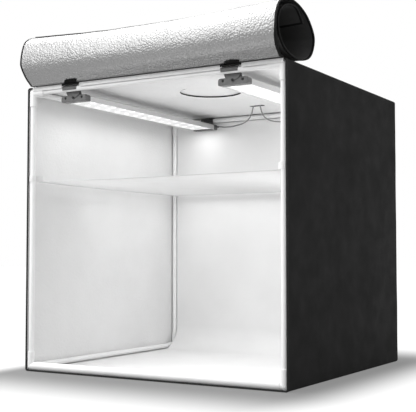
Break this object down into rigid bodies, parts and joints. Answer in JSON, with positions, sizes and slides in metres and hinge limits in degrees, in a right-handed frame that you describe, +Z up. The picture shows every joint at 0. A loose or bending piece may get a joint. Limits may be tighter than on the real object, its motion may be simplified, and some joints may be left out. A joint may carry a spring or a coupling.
{
  "type": "light tent",
  "caption": "Cube-shaped cloth light tent on a tube frame, with hooked light bars, a level diffuser, a swept white backdrop and a rolled-up front cover.",
  "frame": {"origin": "middle of the tent's footprint, on the underside of its bottom panel", "axes": "+X to the right seen from the open front, +Y from the front to the back, +Z up"},
  "size_m": [0.6, 0.6019, 0.6951],
  "materials": {
    "white_coating": "smooth satin white coating",
    "white_plastic": "moulded, fine satin",
    "black_cloth": "black woven cloth with a faint sheen",
    "black_tape": "folded woven tape",
    "silver_cloth": "silver coated cloth with a fine pebbled emboss",
    "white_sheet": "smooth matte white sheet",
    "diffuser_cloth": "thin translucent white cloth",
    "white_strap": "woven white strap",
    "grey_plastic": "moulded dark grey plastic",
    "aluminium": "satin anodised",
    "lit_board": "white board with lit chips",
    "black_steel": "black screws",
    "grey_lead": "smooth cable sheath",
    "black_plastic": "moulded black plastic"
  },
  "bodies": {
    "tent": {"post_front_left": "white_coating", "post_front_right": "white_coating", "post_rear_left": "white_coating", "post_rear_right": "white_coating", "top_rail_front": "white_coating", "top_rail_rear": "white_coating", "top_rail_left": "white_coating", "top_rail_right": "white_coating", "bottom_rail_front": "white_coating", "bottom_rail_rear": "white_coating", "bottom_rail_left": "white_coating", "bottom_rail_right": "white_coating", "corner_top_front_left": "white_plastic", "corner_top_front_right": "white_plastic", "corner_top_rear_left": "white_plastic", "corner_top_rear_right": "white_plastic", "corner_bottom_front_left": "white_plastic", "corner_bottom_front_right": "white_plastic", "corner_bottom_rear_left": "white_plastic", "corner_bottom_rear_right": "white_plastic", "cover_bottom": "black_cloth", "cover_top": "black_cloth", "cover_left": "black_cloth", "cover_right": "black_cloth", "cover_rear": "black_cloth", "lining": "silver_cloth", "front_binding": "black_tape", "backdrop": "white_sheet", "diffuser_sheet": "diffuser_cloth", "strap_front_left": "white_strap", "strap_front_right": "white_strap", "strap_rear_left": "white_strap", "strap_rear_right": "white_strap", "left_lead_inside": "grey_lead", "left_lead_outside": "grey_lead", "left_lead_socket": "black_plastic", "right_lead_inside": "grey_lead", "right_lead_outside": "grey_lead", "right_lead_socket": "black_plastic"},
    "front_cover": {"front_cover": "silver_cloth"},
    "top_flap": {"top_flap": "black_cloth"},
    "left_hooks": {"left_hook_front": "grey_plastic", "left_hook_rear": "grey_plastic"},
    "left_bar": {"left_cap_front": "grey_plastic", "left_cap_rear": "grey_plastic", "left_housing": "aluminium", "left_led_board": "lit_board", "left_pivot_front": "black_steel", "left_pivot_rear": "black_steel", "left_gland": "grey_plastic"},
    "right_hooks": {"right_hook_front": "grey_plastic", "right_hook_rear": "grey_plastic"},
    "right_bar": {"right_cap_front": "grey_plastic", "right_cap_rear": "grey_plastic", "right_housing": "aluminium", "right_led_board": "lit_board", "right_pivot_front": "black_steel", "right_pivot_rear": "black_steel", "right_gland": "grey_plastic"}
  },
  "joints": [
    {"name": "left_bar_slide", "type": "slide", "parent": "tent", "child": "left_hooks", "axis": [1, 0, 0], "range_m": [-0.05, 0.13], "deforming": ["left_lead_inside"]},
    {"name": "left_bar_tilt", "type": "hinge", "parent": "left_hooks", "child": "left_bar", "pos_m": [-0.1905, 0, 0.5585], "axis": [0, 1, 0], "range_deg": [-30, 30], "deforming": ["left_lead_inside"]},
    {"name": "right_bar_slide", "type": "slide", "parent": "tent", "child": "right_hooks", "axis": [1, 0, 0], "range_m": [-0.122, 0.055], "deforming": ["right_lead_inside"]},
    {"name": "right_bar_tilt", "type": "hinge", "parent": "right_hooks", "child": "right_bar", "pos_m": [0.1825, 0, 0.5585], "axis": [0, 1, 0], "range_deg": [-30, 30], "deforming": ["right_lead_inside"]},
    {"name": "top_flap_hinge", "type": "hinge", "parent": "tent", "child": "top_flap", "pos_m": [-0.067, -0.064, 0.5871], "axis": [0, -1, 0], "range_deg": [0, 175]},
    {"name": "front_cover_hinge", "type": "hinge", "parent": "tent", "child": "front_cover", "pos_m": [0, -0.28, 0.585], "axis": [1, 0, 0], "range_deg": [0, 90]}
  ]
}
